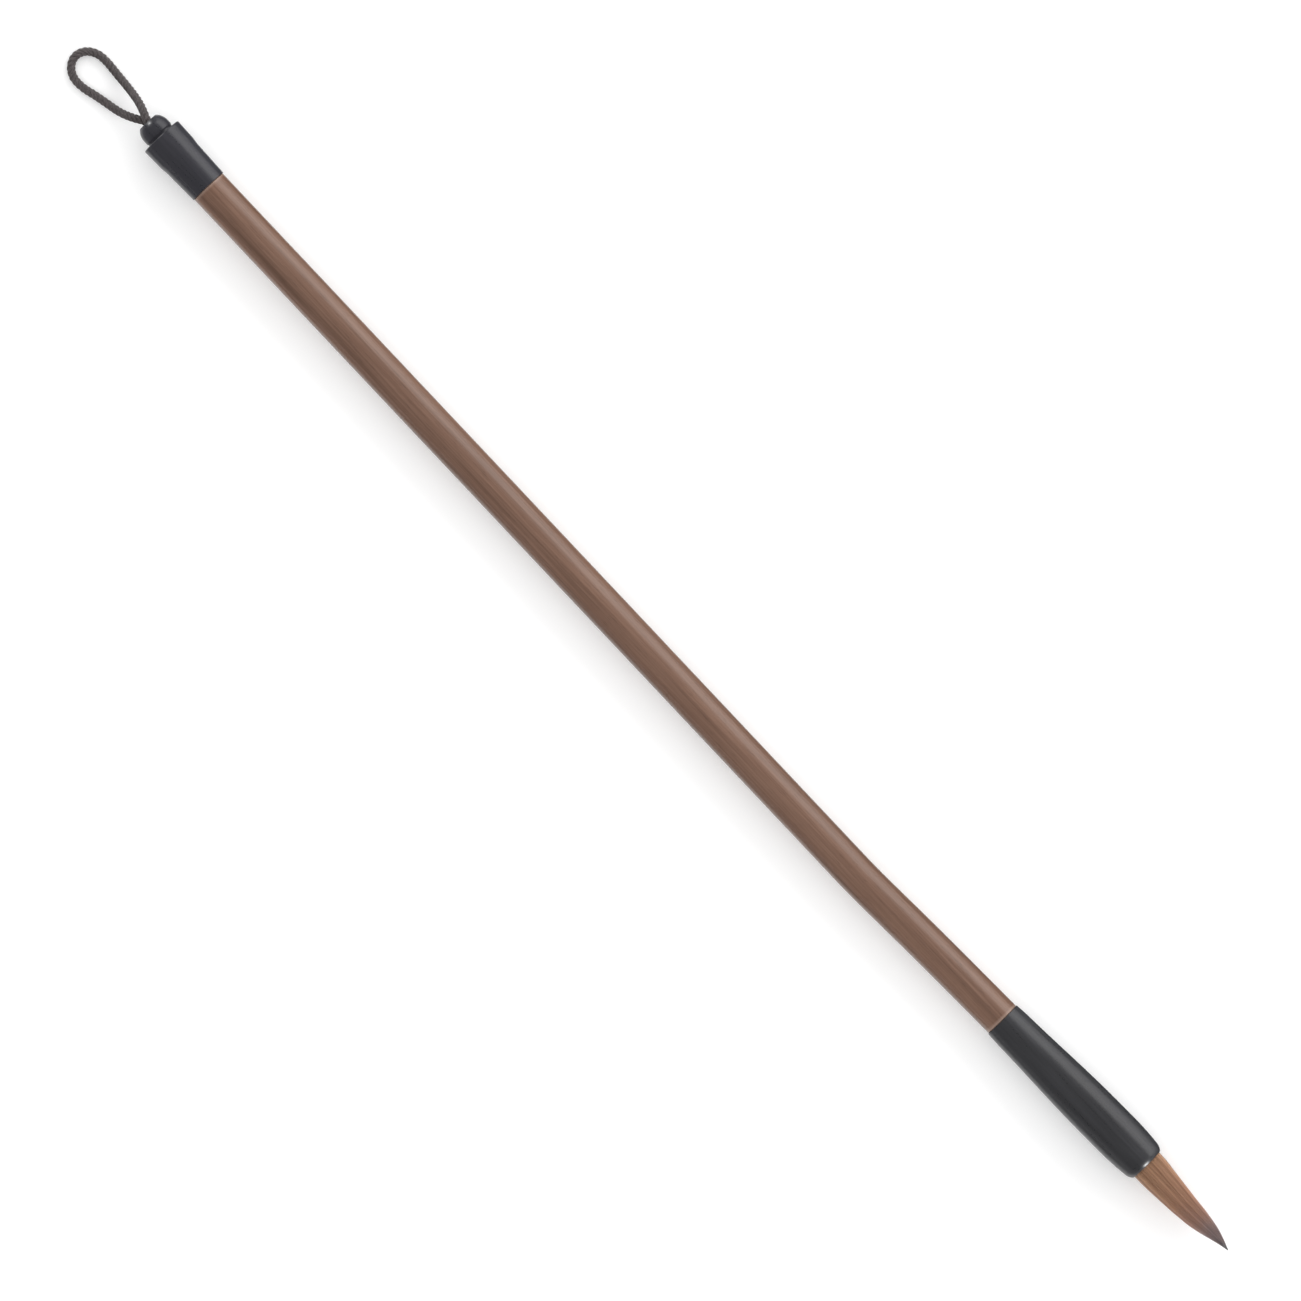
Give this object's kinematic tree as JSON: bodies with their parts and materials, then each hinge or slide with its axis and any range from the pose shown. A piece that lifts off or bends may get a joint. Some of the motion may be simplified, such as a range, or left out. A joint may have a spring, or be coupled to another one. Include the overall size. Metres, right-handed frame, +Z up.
{
  "type": "calligraphy brush",
  "caption": "Slim ink brush with a tubular bamboo handle, a moulded end cap with a twisted cord loop, a swelled moulded ferrule and a pointed hair tuft that flexes.",
  "frame": {"origin": "centre of the brush's box on the table it lies on, without the cord loop", "axes": "+X along the brush from the end cap to the hair tip, +Z up from the table"},
  "size_m": [0.2658, 0.0103, 0.0078],
  "materials": {
    "bamboo": "stained and thinly varnished bamboo, fine lengthwise grain",
    "black_plastic": "moulded black plastic, satin gloss",
    "cord": "fine plied and twisted waxed cord, dark brown-grey",
    "hair": "brown hair, lengthwise, darker at the point",
    "thread": "white cotton thread",
    "resin": "amber resin",
    "glue": "dried wood glue"
  },
  "bodies": {
    "brush": {"handle": "bamboo", "end_cap": "black_plastic", "cap_glue": "glue", "ferrule": "black_plastic", "ferrule_glue": "glue", "tuft_root": "hair", "binding_thread": "thread", "root_resin": "resin", "cord_tails": "cord", "cord_knot": "cord"},
    "loop": {"hanging_loop": "cord"},
    "tuft": {"hair_core": "hair", "hair_lining": "hair", "hair_mantle": "hair"}
  },
  "joints": [
    {"name": "tuft_flex", "type": "hinge", "parent": "brush", "child": "tuft", "pos_m": [0.10737, 0.00097, 0.0039], "axis": [0, 0, 1], "range_deg": [-50, 50], "stiffness_Nm_per_rad": 0.004},
    {"name": "loop_swing", "type": "hinge", "parent": "brush", "child": "loop", "pos_m": [-0.1245, -0.00103, 0.0039], "axis": [0, 0, 1], "range_deg": [-30, 30]}
  ]
}
